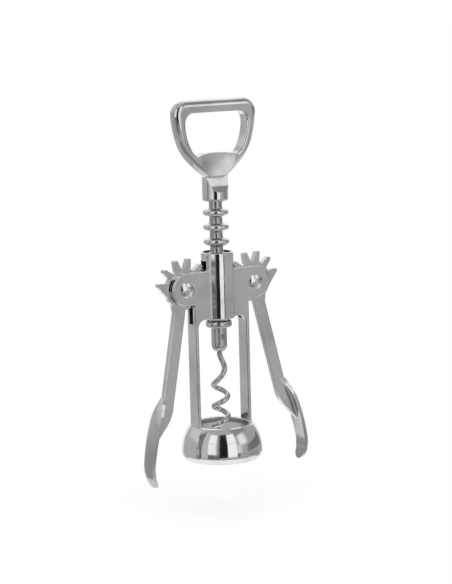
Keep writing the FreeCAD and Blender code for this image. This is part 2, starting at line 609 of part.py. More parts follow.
def build_rack():
    """Ringed sleeve that the lever teeth drive; it turns freely on the worm's shank."""
    body = new_body("rack_sleeve")
    core = new_sketch(body, "core", "XY", circles=[("0", "0", "rack_core_radius")], height="sleeve_foot")
    pad(body, core, "sleeve_top - sleeve_foot", both_ways=False)
    lowest = "pivot_height - ring_count_below * ring_pitch"
    half = "ring_thickness / 2"
    bury = "rack_core_radius - 1"
    side_end = "ring_radius - ring_round"
    foot = "rack_core_radius + ring_root_round"
    ring = [
        (bury, f"{lowest} - {half} - ring_root_round"),
        ("rack_core_radius", f"{lowest} - {half} - ring_root_round", "ring_root_round", -1),
        (foot, f"{lowest} - {half}"),
        (side_end, f"{lowest} - {half}", "ring_round", 1),
        ("ring_radius", f"{lowest} - {half} + ring_round"),
        ("ring_radius", f"{lowest} + {half} - ring_round", "ring_round", 1),
        (side_end, f"{lowest} + {half}"),
        (foot, f"{lowest} + {half}", "ring_root_round", -1),
        ("rack_core_radius", f"{lowest} + {half} + ring_root_round"),
        (bury, f"{lowest} + {half} + ring_root_round"),
    ]
    first = turn(body, new_sketch(body, "ring", "XZ", [ring]))
    pattern = body.newObject("PartDesign::LinearPattern", "rings")
    pattern.Originals = [first]
    pattern.Direction = ([part for part in body.Origin.OriginFeatures if part.Role == "Z_Axis"][0], [""])
    pattern.setExpression("Occurrences", bound("ring_count_above + ring_count_below + 1"))
    pattern.setExpression("Length", bound("(ring_count_above + ring_count_below) * ring_pitch"))
    body.Tip = pattern
    doc.recompute()
    pocket(body, new_sketch(body, "rack_bore", "XY", circles=[("0", "0", "wire_radius + turning_gap")]))


def build_handle():
    """Turning handle: a neck and a loop with a bottle opener's lip, drawn from the neck's lower end."""
    body = new_body("opener_handle")
    half = smooth([
        ("0.7 * neck_radius", "loop_foot - 1.5"),
        ("loop_knee_half", "loop_knee"),
        ("loop_bulge_half", "loop_bulge"),
        ("loop_half", "loop_shoulder"),
        ("loop_top_half", "loop_top"),
    ], "loop_slope")
    pad(body, new_sketch(body, "loop", "XZ", [both_halves(half)]), "loop_thickness")
    face = num("loop_thickness") / 2
    round_edges(body, "loop_rounds", "loop_round",
                lambda edge: lies_at(edge, 1, face) or lies_at(edge, 1, -face))
    eye = [("lip_half", "lip_height")] + smooth([
        ("eye_notch_half", "eye_notch"),
        ("eye_knee_half", "eye_knee"),
        ("eye_half", "eye_shoulder"),
        ("eye_top_half", "eye_top"),
    ], "eye_slope")
    eye = both_halves(eye)
    eye[-1] += ("lip_curve", -1)
    pocket(body, new_sketch(body, "eye", "XZ", [eye]))
    sides = [Vector(side * num("eye_half"), y, num("eye_shoulder")) for side in (1, -1) for y in (face, -face)]
    round_edges(body, "eye_rounds", "eye_round", lambda edge: passes(edge, *sides))
    neck = [("0", "0"), ("neck_radius", "0"), ("neck_radius", "loop_foot"), ("0", "loop_foot")]
    turn(body, new_sketch(body, "neck", "XZ", [neck]))
    round_edges(body, "neck_rounds", "neck_round", lambda edge: lies_at(edge, 2, 0))
    cheek = "loop_thickness / 2"
    beyond = "2 * neck_radius"
    heading = "atan2(ramp_bend - ramp_top; ramp_bend_face - ramp_top_face) / (1 deg)"
    bend, foot = smooth([("ramp_bend_face", "ramp_bend"), ("1.02 * neck_radius", "ramp_foot")], heading)
    ramps = [[(f"{side} * ramp_top_face", "ramp_top"),
              (f"{side} * ({bend[0]})", bend[1], bend[2], side * bend[3]),
              (f"{side} * ({foot[0]})", foot[1]),
              (f"{side} * ({beyond})", "ramp_foot"),
              (f"{side} * ({beyond})", "ramp_top")] for side in (1, -1)]
    pocket(body, new_sketch(body, "ramps", "YZ", ramps), beyond)
    reach = "(dish_radius - dish_depth - 1)"
    rim = f"sqrt(dish_radius ^ 2 - {reach} ^ 2)"
    for side, name in ((1, "back_dish"), (-1, "front_dish")):
        cap = [(f"{-side} * {reach}", f"-{rim}", "dish_radius", -side),
               (f"{-side} * {reach}", rim),
               (f"{-side} * {reach}", "0")]
        centre = f"{side} * ({cheek} - dish_depth + dish_radius)"
        turn(body, new_sketch(body, name, "YZ", [cap], aside=centre, lift="dish_height"), "Groove")
    shank = [("0", "-1"), ("wire_radius + fit_gap", "-1"),
             ("wire_radius + fit_gap", "shank_depth + fit_gap"), ("0", "shank_depth + fit_gap")]
    turn(body, new_sketch(body, "shank_hole", "XZ", [shank]), "Groove")
    place(body, z="neck_foot")


def build_ferrule():
    """Collar and thimble, crimped on the worm, drawn downwards from the collar's upper face."""
    body = new_body("worm_ferrule")
    bore = "wire_radius + fit_gap"
    wall = f"(thimble_radius - {bore})"
    dome = f"((thimble_dome ^ 2 + {wall} ^ 2) / (2 * {wall}))"
    profile = [
        (bore, "0"),
        ("neck_radius", "0"),
        ("neck_radius", "-collar_thickness"),
        ("thimble_radius", "-collar_thickness"),
        ("thimble_radius", "-collar_thickness - thimble_length + thimble_dome", dome, -1),
        (bore, "-collar_thickness - thimble_length"),
    ]
    turn(body, new_sketch(body, "ferrule", "XZ", [profile]))
    rims = (0, num("-collar_thickness"))
    outer = num("neck_radius")
    round_edges(body, "collar_rounds", "collar_round",
                lambda edge: near(edge.BoundBox.XMax, outer)
                and any(lies_at(edge, 2, rim) for rim in rims))
    dimple = body.newObject("PartDesign::SubtractiveEllipsoid", "crimp")
    reach = "1.05 * thimble_radius"
    spot = (f"-{reach} * sin(crimp_angle)", f"-{reach} * cos(crimp_angle)",
            "-collar_thickness - 0.48 * thimble_length")
    dimple.Placement = Placement(Vector(*map(num, spot)), Rotation(Vector(0, 0, 1), num("crimp_angle")))
    for axis, text in zip("xyz", spot):
        dimple.setExpression(f"Placement.Base.{axis}", bound(text))
    dimple.setExpression("Radius1", bound("0.34 * thimble_length"))
    dimple.setExpression("Radius2", bound("0.5 * thimble_radius"))
    dimple.setExpression("Radius3", bound("0.33 * thimble_radius"))
    doc.recompute()
    place(body, z="collar_top")


def build_worm():
    """Pointed right-handed spiral with a straight shank: three sweeps along one centre line, in one piece."""
    wire = num("wire_radius")
    spiral = num("worm_radius")
    pitch = num("worm_pitch")
    tip = num("worm_tip_height")
    full = num("worm_spiral_top")
    shank_foot = num("worm_shank_foot")
    start = math.radians(num("worm_tip_angle"))
    point_radius = 0.19 * wire
    point_end = tip + num("worm_taper")
    shank_start = shank_foot + wire
    stretch = num("worm_stretch")
    last_pitch = num("worm_last_pitch")

    def centre(height):
        share = min(max((shank_foot - height) / (shank_foot - full), 0.0), 1.0)
        reach = spiral * share * share * (3 - 2 * share)
        above = height - full + stretch
        slowed = min(above, stretch) ** 2 / (2 * stretch) + max(above - stretch, 0.0) if above > 0 else 0.0
        turns = (height - tip - slowed) / pitch + slowed / last_pitch
        angle = start + 2 * math.pi * turns
        return Vector(reach * math.cos(angle), reach * math.sin(angle), height)

    def section(height, radius):
        step = 0.01
        along = centre(height + step) - centre(height - step)
        return Part.Wire([Part.makeCircle(radius, centre(height), along)])

    def swept(low, high, low_radius, high_radius):
        steps = round(16 * (high - low) / pitch)
        line = Part.BSplineCurve()
        line.interpolate(Points=[centre(low + (high - low) * step / steps) for step in range(steps + 1)])
        shell = Part.BRepOffsetAPI.MakePipeShell(Part.Wire([line.toShape()]))
        shell.setFrenetMode(False)
        shell.add(section(low, low_radius))
        shell.add(section(high, high_radius))
        shell.build()
        shell.makeSolid()
        return shell.shape()

    point = swept(tip, point_end, point_radius, wire)
    coils = swept(point_end, shank_start, wire, wire)
    shank = Part.makeCylinder(wire, num("neck_foot + shank_depth") - shank_start, centre(shank_start))
    worm = doc.addObject("Part::Feature", "worm")
    worm.Label = "worm"
    joined = point.fuse([coils, shank])
    if joined.Volume < 0.9 * (coils.Volume + shank.Volume):
        raise RuntimeError("the worm's three sweeps didn't join")
    worm.Shape = joined.Solids[0]


build_frame()
build_bell()
build_lever("lever_left", -1, "left_slack_angle")
build_lever("lever_right", 1, "right_slack_angle")
build_rivet("pivot_rivet_left", -1)
build_rivet("pivot_rivet_right", 1)
build_rack()
build_handle()
build_ferrule()
build_worm()
doc.recompute()

for thing in doc.Objects:
    if "Invalid" in thing.State or "Error" in thing.State:
        raise RuntimeError(f"{thing.Name} failed: {thing.State}")

NODES = ["frame_casting", "bottle_bell", "lever_left", "lever_right", "pivot_rivet_left",
         "pivot_rivet_right", "rack_sleeve", "opener_handle", "worm_ferrule", "worm"]
os.makedirs("parts", exist_ok=True)
for name in NODES:
    shape = doc.getObject(name).Shape
    if shape.isNull() or not shape.isValid() or len(shape.Solids) != 1:
        raise RuntimeError(f"{name} isn't one valid solid")
    shape.exportStep(f"parts/{name}.step")
    print(f"{name}: {shape.Volume:.1f} mm3, {shape.BoundBox}")
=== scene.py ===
"""Wing corkscrew: plated finishes for its ten pieces and the studio that shows them.

Metres. +Z runs up along the worm from the bell's lower rim, and +X from the left lever to the right one.
Nothing here changes the pieces' shapes: each keeps its own solid and gets a finish that suits how it was
made, which is cast, turned, headed or coiled from drawn wire, and then polished and plated.
"""
import json
import math

import bmesh
import bpy
from bpy.props import FloatProperty, FloatVectorProperty, PointerProperty
from mathutils import Matrix, Vector


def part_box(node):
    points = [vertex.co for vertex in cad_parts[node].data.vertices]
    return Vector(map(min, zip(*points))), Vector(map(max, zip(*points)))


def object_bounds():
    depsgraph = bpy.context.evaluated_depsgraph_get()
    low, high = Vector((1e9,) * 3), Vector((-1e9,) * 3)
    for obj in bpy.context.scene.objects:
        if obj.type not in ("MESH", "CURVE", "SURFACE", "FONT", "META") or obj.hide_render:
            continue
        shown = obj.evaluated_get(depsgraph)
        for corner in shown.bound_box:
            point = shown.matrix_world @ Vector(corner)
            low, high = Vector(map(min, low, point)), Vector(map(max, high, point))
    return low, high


bl_info = {
    "name": "Wing Corkscrew",
    "version": (1, 0, 0),
    "blender": (4, 5, 0),
    "location": "3D View > Sidebar > Corkscrew",
    "description": "Plated finishes for a wing corkscrew, and a small studio for it",
    "category": "Object",
}

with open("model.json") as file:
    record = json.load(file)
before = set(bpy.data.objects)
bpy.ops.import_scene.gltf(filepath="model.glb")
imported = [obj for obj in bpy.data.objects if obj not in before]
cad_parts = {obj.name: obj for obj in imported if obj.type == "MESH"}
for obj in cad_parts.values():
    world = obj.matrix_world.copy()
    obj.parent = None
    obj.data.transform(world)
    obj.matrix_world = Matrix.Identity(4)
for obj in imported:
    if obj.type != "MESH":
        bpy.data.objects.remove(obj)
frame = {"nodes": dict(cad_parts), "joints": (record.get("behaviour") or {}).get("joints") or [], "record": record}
nodes = frame["nodes"]
cad_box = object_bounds()


# The part's own measures ------------------------------------------------------------------------

def named(rows, name):
    """The joint or mount of that name."""
    return next(row for row in rows if row["name"] == name)


PIVOT_HEIGHT = named(frame["joints"], "lever_left_pivot")["pos_m"][2]
RACK_TRAVEL = named(frame["joints"], "rack_slide")["range_m"][1]
RING_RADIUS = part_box("rack_sleeve")[1][0]
BARREL_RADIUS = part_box("frame_casting")[1][1]
BELL_BORE = named(frame["record"]["mounts"], "bottle_seat")["dims"]["r_mm"] / 1000
BELL_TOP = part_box("bottle_bell")[1][2]
LEVER_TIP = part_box("lever_left")[0][2]
HANDLE_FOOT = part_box("opener_handle")[0][2]
WORM_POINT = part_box("worm")[0][2]


# Where one look gives way to another ------------------------------------------------------------
#
# Each pair says where the change starts and where it is complete.

# Insides of the casting, which are painted near black as shade: distance from the worm's axis in the barrel's
# bore, and in the slot that the levers turn in the distance from its middle plane, the distance sideways from the
# axis, and the height.
IN_BORE = (RING_RADIUS + 0.00068, RING_RADIUS + 0.00028)
IN_SLOT = (0.00176, 0.00166)
BESIDE_BARREL = (BARREL_RADIUS + 0.0001, BARREL_RADIUS + 0.0003)
ABOVE_SLOT_FLOOR = (PIVOT_HEIGHT - 0.0179, PIVOT_HEIGHT - 0.0176)

# Inside of the bell, painted darker as shade: distance from the axis, and height.
IN_BELL = (BELL_BORE + 0.0005, BELL_BORE + 0.0001)
BELOW_BELL_TOP = (BELL_TOP - 0.0005, BELL_TOP - 0.0009)

# Heights between which the levers' arms give way to their finger pads, which are painted darker towards the tips
# as shade.
ON_PADS = (LEVER_TIP + 0.03585, LEVER_TIP + 0.01385)

# Distances from the axis between the rack's rings, where the ring roots are painted darker as shade.
BETWEEN_RINGS = (RING_RADIUS - 0.00165, RING_RADIUS - 0.00305)

# The hollows in the handle's faces, which the polishing wheel doesn't reach.
DISH_HEIGHT = HANDLE_FOOT + 0.0201
DISH_RADIUS = 0.0096
IN_DISH = (1.04 * DISH_RADIUS, 0.94 * DISH_RADIUS)


# Grain of the finishes --------------------------------------------------------------------------

# Clouds, specks and smears of wear, the same on all plating, in waves to the metre.
CLOUDS = 45.0
SPECKS = 900.0
SMEARS = 120.0

# What the specks count beside the clouds, and how far the most worn places go towards the worn colour.
SPECK_SHARE = 0.2
MOST_WEAR = 0.7

# Strokes of the buffing wheel, and scratches on wire, in waves to the metre along X, Y and Z: few along a
# stroke and many across it.
CASTING_STROKES = (2600.0, 2600.0, 140.0)
LEVER_STROKES = (2600.0, 2600.0, 160.0)
HANDLE_STROKES = (160.0, 2600.0, 2600.0)
RIVET_STROKES = (900.0, 900.0, 900.0)
WIRE_SCRATCHES = (1500.0, 1500.0, 5200.0)

# Lines that turning leaves: waves to the metre across them, and to the radian along them.
TURNED_ACROSS = 6000.0
TURNED_ALONG = 0.6

# Levels of noise between which a mark sets in. Noise is about 0.5 on average.
WEAR_SETS_IN = (0.42, 0.66)
SMEARS_SET_IN = (0.48, 0.72)
LINES_SET_IN = (0.35, 0.8)
SCRATCHES_SET_IN = (0.3, 0.75)

# The finer set of ripples on a casting: how many times finer, and its share of the depth.
FINER = 4.5
FINER_DEPTH = 0.06


# Studio's measures ------------------------------------------------------------------------------

FLOOR_SIDES = 160
# How much of the floor's look is plain white. The rest is paint that takes the shadow.
FLOOR_GLOW = 0.8

PICTURE_HEIGHT_MM = 36
NEAREST = 0.05

# Lamps: name, bearing from the front and rise in degrees, distance, width, and power in watts.
LAMPS = (
    ("lamp_left", -62, 38, 1.3, 0.9, 4.0),
    ("lamp_right", 8, 42, 1.4, 0.9, 4.0),
    ("lamp_top", -20, 82, 1.2, 1.1, 5.0),
)
LAMPS_AIM_AT = Vector((0, 0, 0.08))

# In the mirrored room, in degrees: the bearing from the camera's side at which the white behind the part
# sets in, and the rise at which the ceiling does, with its brightness.
BEHIND = (132.0, 150.0)
CEILING = (64.0, 72.0)
CEILING_LEVEL = 0.55

# What the metal mirrors of the room: bearing from the camera's side in degrees, to the right; rise above
# the horizon in degrees; blur of the sides and of the ends; brightness, or a share of the light panels'.
GREY, WINDOW = "grey", "window"
REFLECTED = (
    ((-180, -75), (-35, 60), 20, 12, GREY, 0.47),
    ((40, 140), (36, 66), 12, 5, GREY, 0.29),
    ((54, 80), (13, 37), 8, 4, GREY, 0.98),
    ((-128, -72), (15, 62), 12, 6, GREY, 0.66),
    ((82, 124), (-20, -10.8), 10, 1.6, GREY, 0.34),
    ((84, 116), (-44, -22), 8, 6, GREY, 0.85),
    ((-62, -41), (-16, 48), 5, 6, GREY, 0.56),
    ((-70, -61), (-20, 44), 2, 6, GREY, 0.14),
    ((-41, -8), (-22, -7.6), 1.2, 1.0, GREY, 0.15),
    ((-41, -16), (-7.6, 46), 1.2, 1.0, WINDOW, 1.0),
    ((16.5, 44), (-11, 46), 1.2, 1.5, WINDOW, 1.0),
    ((44, 53), (-14, -6.6), 1.5, 0.8, GREY, 0.18),
    ((44, 58), (-6.0, 13), 6, 0.8, GREY, 0.72),
    ((78, 150), (-6.0, 9), 8, 0.8, GREY, 0.20),
    ((-16, -8), (-8, 47), 1.2, 1.5, GREY, 0.32),
    ((-42, 43), (20.6, 22.0), 1, 0.5, GREY, 0.62),
    ((-8, 16.5), (-12.5, 48), 1.2, 1.5, GREY, 0.012),
    ((-46, 46), (-50, -27), 5, 4, GREY, 0.22),
)


# Shader trees -----------------------------------------------------------------------------------

class Value:
    """A socket that takes part in plain arithmetic."""

    def __init__(self, tree, socket):
        self.tree = tree
        self.socket = socket

    def __add__(self, other):
        return self.tree.math("ADD", self, other)

    def __radd__(self, other):
        return self.tree.math("ADD", other, self)

    def __sub__(self, other):
        return self.tree.math("SUBTRACT", self, other)

    def __rsub__(self, other):
        return self.tree.math("SUBTRACT", other, self)

    def __mul__(self, other):
        return self.tree.math("MULTIPLY", self, other)

    def __rmul__(self, other):
        return self.tree.math("MULTIPLY", other, self)

    def __pow__(self, other):
        return self.tree.math("POWER", self, other)

    def __abs__(self):
        return self.tree.math("ABSOLUTE", self)


class Tree:
    """A node tree that is written as calls."""

    def __init__(self, tree):
        self.tree = tree
        tree.nodes.clear()

    def node(self, kind, settings=None, inputs=None, output=0):
        """A node of that kind: its settings first, then a value or a link for each named socket."""
        made = self.tree.nodes.new(kind)
        for key, setting in (settings or {}).items():
            setattr(made, key, setting)
        for key, part in (inputs or {}).items():
            if isinstance(part, Value):
                self.tree.links.new(part.socket, made.inputs[key])
            else:
                made.inputs[key].default_value = part
        return Value(self, made.outputs[output]) if made.outputs else None

    def math(self, operation, *parts):
        """A Math node over numbers and values."""
        return self.node("ShaderNodeMath", {"operation": operation}, dict(enumerate(parts)))

    def step(self, value, low, high):
        """0 below low and 1 above high, with a soft rise between them; falls where high is the lower."""
        ends = {"Value": value, "From Min": min(low, high), "From Max": max(low, high),
                "To Min": 0.0 if low < high else 1.0, "To Max": 1.0 if low < high else 0.0}
        return self.node("ShaderNodeMapRange", {"interpolation_type": "SMOOTHSTEP"}, ends)

    def band(self, value, low, high, blur):
        """1 between low and high, and 0 outside them."""
        return self.step(value, low - blur, low + blur) * self.step(value, high + blur, high - blur)

    def mix_colour(self, share, first, second):
        """first where share is 0, second where it is 1."""
        return self.node("ShaderNodeMix", {"data_type": "RGBA"}, {0: share, 6: first, 7: second}, output=2)

    def stretched(self, spot, scale):
        """Coordinates stretched by a scale along each axis."""
        return self.node("ShaderNodeVectorMath", {"operation": "MULTIPLY"}, {0: spot, 1: scale})

    def dot(self, first, second):
        """How far the first vector goes along the second."""
        return self.node("ShaderNodeVectorMath", {"operation": "DOT_PRODUCT"}, {0: first, 1: second},
                         output="Value")

    def take(self, axes, spot):
        """A place's or a direction's numbers along the named axes."""
        return [self.node("ShaderNodeSeparateXYZ", None, {0: spot}, output=axis) for axis in axes]

    def noise(self, spot, waves, detail=2.0, roughness=0.5):
        """Noise with so many waves to the metre."""
        return self.node("ShaderNodeTexNoise", None,
                         {"Vector": spot, "Scale": waves, "Detail": detail, "Roughness": roughness})


def distance(first, second):
    """Distance that two measures at right angles make."""
    return (first * first + second * second) ** 0.5


# What a user would change -----------------------------------------------------------------------

class PlatingSettings(bpy.types.PropertyGroup):
    """The bright plating that all pieces share."""
    bright: FloatVectorProperty(name="Bright", description="Clean plating", subtype="COLOR",
                                default=(0.80, 0.81, 0.80), min=0, max=1)
    dull: FloatVectorProperty(name="Dull", description="Plating dulled by handling and washing",
                              subtype="COLOR", default=(0.60, 0.61, 0.60), min=0, max=1)
    # Painted shade: this darker grey is painted on the lower ends of the levers' pads and between the rack's
    # rings.
    painted_shade_grey: FloatVectorProperty(name="Handled", description="Plating worn dull where fingers press",
                                 subtype="COLOR", default=(0.50, 0.51, 0.50), min=0, max=1)
    # This wire colour is also painted inside the bell as shade.
    steel_and_shade: FloatVectorProperty(name="Wire", description="Thinly plated steel wire", subtype="COLOR",
                               default=(0.42, 0.42, 0.41), min=0, max=1)
    # Painted shade: this near black is painted in the casting's slot and in the barrel's bore.
    painted_shade_dark: FloatVectorProperty(name="Bare", description="Insides that plating hardly reaches",
                              subtype="COLOR", default=(0.10, 0.10, 0.10), min=0, max=1)
    edge_wear: FloatProperty(name="Edge wear", description="Radius to which polishing breaks sharp edges",
                             subtype="DISTANCE", unit="LENGTH", default=0.0003, min=0, precision=5)
    gloss: FloatProperty(name="Polish", description="Roughness of freshly polished plating",
                         subtype="FACTOR", default=0.05, min=0, max=1)
    satin: FloatProperty(name="Satin", description="Roughness left in hollows that polishing doesn't reach",
                         subtype="FACTOR", default=0.26, min=0, max=1)
    haze: FloatProperty(name="Haze", description="Roughness that handling adds in places",
                        subtype="FACTOR", default=0.08, min=0, max=1)
    # Roughness added in the slot and bore, which are painted near black as shade.
    recess_haze: FloatProperty(name="Bare haze", description="Roughness that bare insides add",
                             subtype="FACTOR", default=0.4, min=0, max=1)
    handled_haze: FloatProperty(name="Handled haze", description="Roughness that fingers add to the pads",
                                subtype="FACTOR", default=0.1, min=0, max=1)
    greased_haze: FloatProperty(name="Greased haze", description="Roughness that grease adds on the rack",
                                subtype="FACTOR", default=0.02, min=0, max=1)


class SurfaceSettings(bpy.types.PropertyGroup):
    """The marks that making the pieces leaves under the plating."""
    ripple_depth: FloatProperty(name="Ripple depth", description="Depth of a casting's gentle ripples",
                                subtype="DISTANCE", unit="LENGTH", default=0.00012, min=0, precision=6)
    ripple_size: FloatProperty(name="Ripple size", description="Width of those ripples",
                               subtype="DISTANCE", unit="LENGTH", default=0.009, min=0.001)
    tool_pitch: FloatProperty(name="Tool pitch", description="Spacing of the marks on turned pieces",
                              subtype="DISTANCE", unit="LENGTH", default=0.00028, min=0.00001, precision=5)
    tool_depth: FloatProperty(name="Tool depth", description="Depth of those marks",
                              subtype="DISTANCE", unit="LENGTH", default=0.0000035, min=0, precision=7)
    buffing: FloatProperty(name="Buffing", description="Roughness of the lines that buffing leaves",
                           subtype="FACTOR", default=0.06, min=0, max=1)
    turning: FloatProperty(name="Turning", description="Roughness of the lines that turning leaves",
                           subtype="FACTOR", default=0.07, min=0, max=1)
    drawing: FloatProperty(name="Drawing", description="Roughness of the scratches on drawn wire",
                           subtype="FACTOR", default=0.12, min=0, max=1)


class StudioSettings(bpy.types.PropertyGroup):
    """Camera, floor and light."""
    camera_bearing: FloatProperty(name="Bearing", description="Camera, turned from the front to the left",
                                  subtype="ANGLE", unit="ROTATION", default=0.56424)
    camera_distance: FloatProperty(name="Distance", description="Camera to the worm's axis",
                                   subtype="DISTANCE", unit="LENGTH", default=0.92015, min=0.1)
    camera_height: FloatProperty(name="Height", description="Camera above the bell's lower rim",
                                 subtype="DISTANCE", unit="LENGTH", default=0.22808)
    camera_pitch: FloatProperty(name="Pitch", description="How far the camera looks down",
                                subtype="ANGLE", unit="ROTATION", default=0.15776)
    camera_yaw: FloatProperty(name="Yaw", description="How far it looks past the axis",
                              subtype="ANGLE", unit="ROTATION", default=0.00432)
    camera_roll: FloatProperty(name="Roll", description="How far it leans",
                               subtype="ANGLE", unit="ROTATION", default=-0.02667)
    camera_lens: FloatProperty(name="Lens", description="Focal length over a 36 mm high picture",
                               subtype="DISTANCE_CAMERA", default=118.13, min=10)
    floor_radius: FloatProperty(name="Floor", description="Radius of the pale floor",
                                subtype="DISTANCE", unit="LENGTH", default=0.07, min=0.05)
    floor_gap: FloatProperty(name="Floor gap", description="Floor below the lowest place the part reaches",
                             subtype="DISTANCE", unit="LENGTH", default=0.0002, min=0)
    floor_colour: FloatVectorProperty(name="Floor colour", description="Pale floor", subtype="COLOR",
                                      default=(0.90, 0.90, 0.90), min=0, max=1)
    room: FloatProperty(name="Room", description="Brightness of the grey room that the metal mirrors",
                        default=0.43, min=0)
    window: FloatProperty(name="Panels", description="Brightness of the two light panels",
                          default=1.05, min=0)
    soft_light: FloatProperty(name="Soft light", description="Even light on anything that isn't metal",
                              default=0.72, min=0)


# Finishes ---------------------------------------------------------------------------------------

def plating(name, colours, marks, height, extra_haze=0.0, shaded_place=None):
    """A plated finish, whose colours are those of clean and of worn places.

    marks gives the roughness that making the piece leaves, and height its relief. The last argument is a place
    with painted shade:
    a mask, the darker colour painted there as shade, and the roughness that it adds.
    """
    material = bpy.data.materials.new(name)
    material.use_nodes = True
    tree = Tree(material.node_tree)
    spot = tree.node("ShaderNodeTexCoord", output="Object")
    look = bpy.context.scene.corkscrew_plating
    clean, worn = colours
    clouds = tree.noise(spot, CLOUDS, detail=3.0, roughness=0.55)
    specks = tree.noise(spot, SPECKS, detail=2.0, roughness=0.6)
    wear = tree.step(clouds * (1 - SPECK_SHARE) + specks * SPECK_SHARE, *WEAR_SETS_IN)
    colour = tree.mix_colour(wear * MOST_WEAR, (*clean, 1), (*worn, 1))
    smears = tree.step(tree.noise(spot, SMEARS, detail=4.0, roughness=0.6), *SMEARS_SET_IN)
    rough = marks(tree, spot) + smears * look.haze + (look.gloss + extra_haze)
    # Painted shade: the masked place takes a darker colour that stands in for shade, and more roughness.
    if shaded_place:
        mask, painted_shade_colour, place_haze = shaded_place
        share = mask(tree, spot)
        colour = tree.mix_colour(share, colour, (*painted_shade_colour, 1))
        rough = rough + share * place_haze
    worn_edge = tree.node("ShaderNodeBevel", {"samples": 6}, {"Radius": look.edge_wear})
    relief = tree.node("ShaderNodeBump", None, {"Strength": 1.0, "Distance": 1.0,
                                                "Height": height(tree, spot), "Normal": worn_edge})
    metal = tree.node("ShaderNodeBsdfPrincipled", None,
                      {"Base Color": colour, "Metallic": 1.0, "Roughness": rough, "Normal": relief})
    tree.node("ShaderNodeOutputMaterial", None, {"Surface": metal})
    return material


def buffed(strokes):
    """Roughness of a surface that was buffed with those strokes."""
    def marks(tree, spot):
        lines = tree.noise(tree.stretched(spot, strokes), 1.0, detail=2.0, roughness=0.6)
        return tree.step(lines, *LINES_SET_IN) * bpy.context.scene.corkscrew_surface.buffing
    return marks


def turned_marks(tree, spot):
    """Roughness of a turned piece: fine lines that run round it."""
    x, y, z = tree.take("XYZ", spot)
    line = tree.node("ShaderNodeCombineXYZ", None,
                     {"X": distance(x, y) * TURNED_ACROSS, "Y": tree.math("ARCTAN2", y, x) * TURNED_ALONG,
                      "Z": z * TURNED_ACROSS})
    lines = tree.noise(line, 1.0, detail=2.0, roughness=0.6)
    return tree.step(lines, *LINES_SET_IN) * bpy.context.scene.corkscrew_surface.turning


def wire_marks(tree, spot):
    """Roughness of drawn wire: short scratches all over it."""
    scratches = tree.noise(tree.stretched(spot, WIRE_SCRATCHES), 1.0, detail=3.0, roughness=0.65)
    return tree.step(scratches, *SCRATCHES_SET_IN) * bpy.context.scene.corkscrew_surface.drawing


def ripples(tree, spot):
    """Height of a polished casting: long ripples with a finer set on them."""
    surface = bpy.context.scene.corkscrew_surface
    long = tree.noise(spot, 1 / surface.ripple_size, detail=1.0, roughness=0.4)
    fine = tree.noise(spot, FINER / surface.ripple_size, detail=1.0, roughness=0.4)
    return long * surface.ripple_depth + fine * (FINER_DEPTH * surface.ripple_depth)


def dimples(waves, detail, depth):
    """Height of a surface with small dimples, whose depth is a share of the ripples' depth."""
    def height(tree, spot):
        ripple_depth = bpy.context.scene.corkscrew_surface.ripple_depth
        return tree.noise(spot, waves, detail) * (depth * ripple_depth)
    return height


def tool_marks(tree, spot):
    """Height of a turned piece: the tool's even feed, and the dimples left by polishing."""
    surface = bpy.context.scene.corkscrew_surface
    x, y, z = tree.take("XYZ", spot)
    feed = tree.math("SINE", (distance(x, y) + z) * (2 * math.pi / surface.tool_pitch))
    polished = dimples(waves=150.0, detail=1.0, depth=0.3)
    return feed * surface.tool_depth + polished(tree, spot)


def dress(names, material):
    """Gives the named pieces a finish of their own."""
    for name in names:
        piece = nodes[name]
        piece.data.materials.clear()
        piece.data.materials.append(material)


class CORKSCREW_OT_casting(bpy.types.Operator):
    """Finish of the barrel with its clevis plates and legs"""
    bl_idname = "corkscrew.casting"
    bl_label = "Frame casting"

    def execute(self, context):
        look = context.scene.corkscrew_plating

        # Painted shade: the slot between the clevis plates and the barrel's bore are painted near black, with more
        # roughness.
        def inside(tree, spot):
            x, y, z = tree.take("XYZ", spot)
            in_slot = (tree.step(abs(y), *IN_SLOT) * tree.step(abs(x), *BESIDE_BARREL)
                       * tree.step(z, *ABOVE_SLOT_FLOOR))
            return tree.math("MAXIMUM", in_slot, tree.step(distance(x, y), *IN_BORE))

        dress(["frame_casting"], plating("plated_frame", (look.bright, look.dull), buffed(CASTING_STROKES),
                                         ripples, shaded_place=(inside, look.painted_shade_dark, look.recess_haze)))
        return {"FINISHED"}


class CORKSCREW_OT_bell(bpy.types.Operator):
    """Finish of the bell that sits on the bottle"""
    bl_idname = "corkscrew.bell"
    bl_label = "Bottle bell"

    def execute(self, context):
        look = context.scene.corkscrew_plating

        # Painted shade: the inside of the bell is painted in the darker wire colour, with satin roughness.
        def inside(tree, spot):
            x, y, z = tree.take("XYZ", spot)
            return tree.step(distance(x, y), *IN_BELL) * tree.step(z, *BELOW_BELL_TOP)

        dress(["bottle_bell"], plating("plated_bell", (look.bright, look.dull), turned_marks,
                                       dimples(waves=60.0, detail=1.0, depth=0.25),
                                       shaded_place=(inside, look.steel_and_shade, look.satin)))
        return {"FINISHED"}


class CORKSCREW_OT_rivets(bpy.types.Operator):
    """Finish of the two pivot rivets"""
    bl_idname = "corkscrew.rivets"
    bl_label = "Pivot rivets"

    def execute(self, context):
        look = context.scene.corkscrew_plating
        dress(["pivot_rivet_left", "pivot_rivet_right"],
              plating("plated_rivets", (look.bright, look.dull), buffed(RIVET_STROKES),
                      dimples(waves=260.0, detail=2.0, depth=0.5)))
        return {"FINISHED"}


class CORKSCREW_OT_levers(bpy.types.Operator):
    """Finish of the two toothed levers"""
    bl_idname = "corkscrew.levers"
    bl_label = "Levers"

    def execute(self, context):
        look = context.scene.corkscrew_plating

        # Painted shade: the pads are painted darker grey towards their tips, with a little more roughness.
        def pads(tree, spot):
            height = tree.take("Z", spot)[0]
            return tree.step(height, *ON_PADS)

        dress(["lever_left", "lever_right"],
              plating("plated_levers", (look.bright, look.dull), buffed(LEVER_STROKES), ripples,
                      shaded_place=(pads, look.painted_shade_grey, look.handled_haze)))
        return {"FINISHED"}


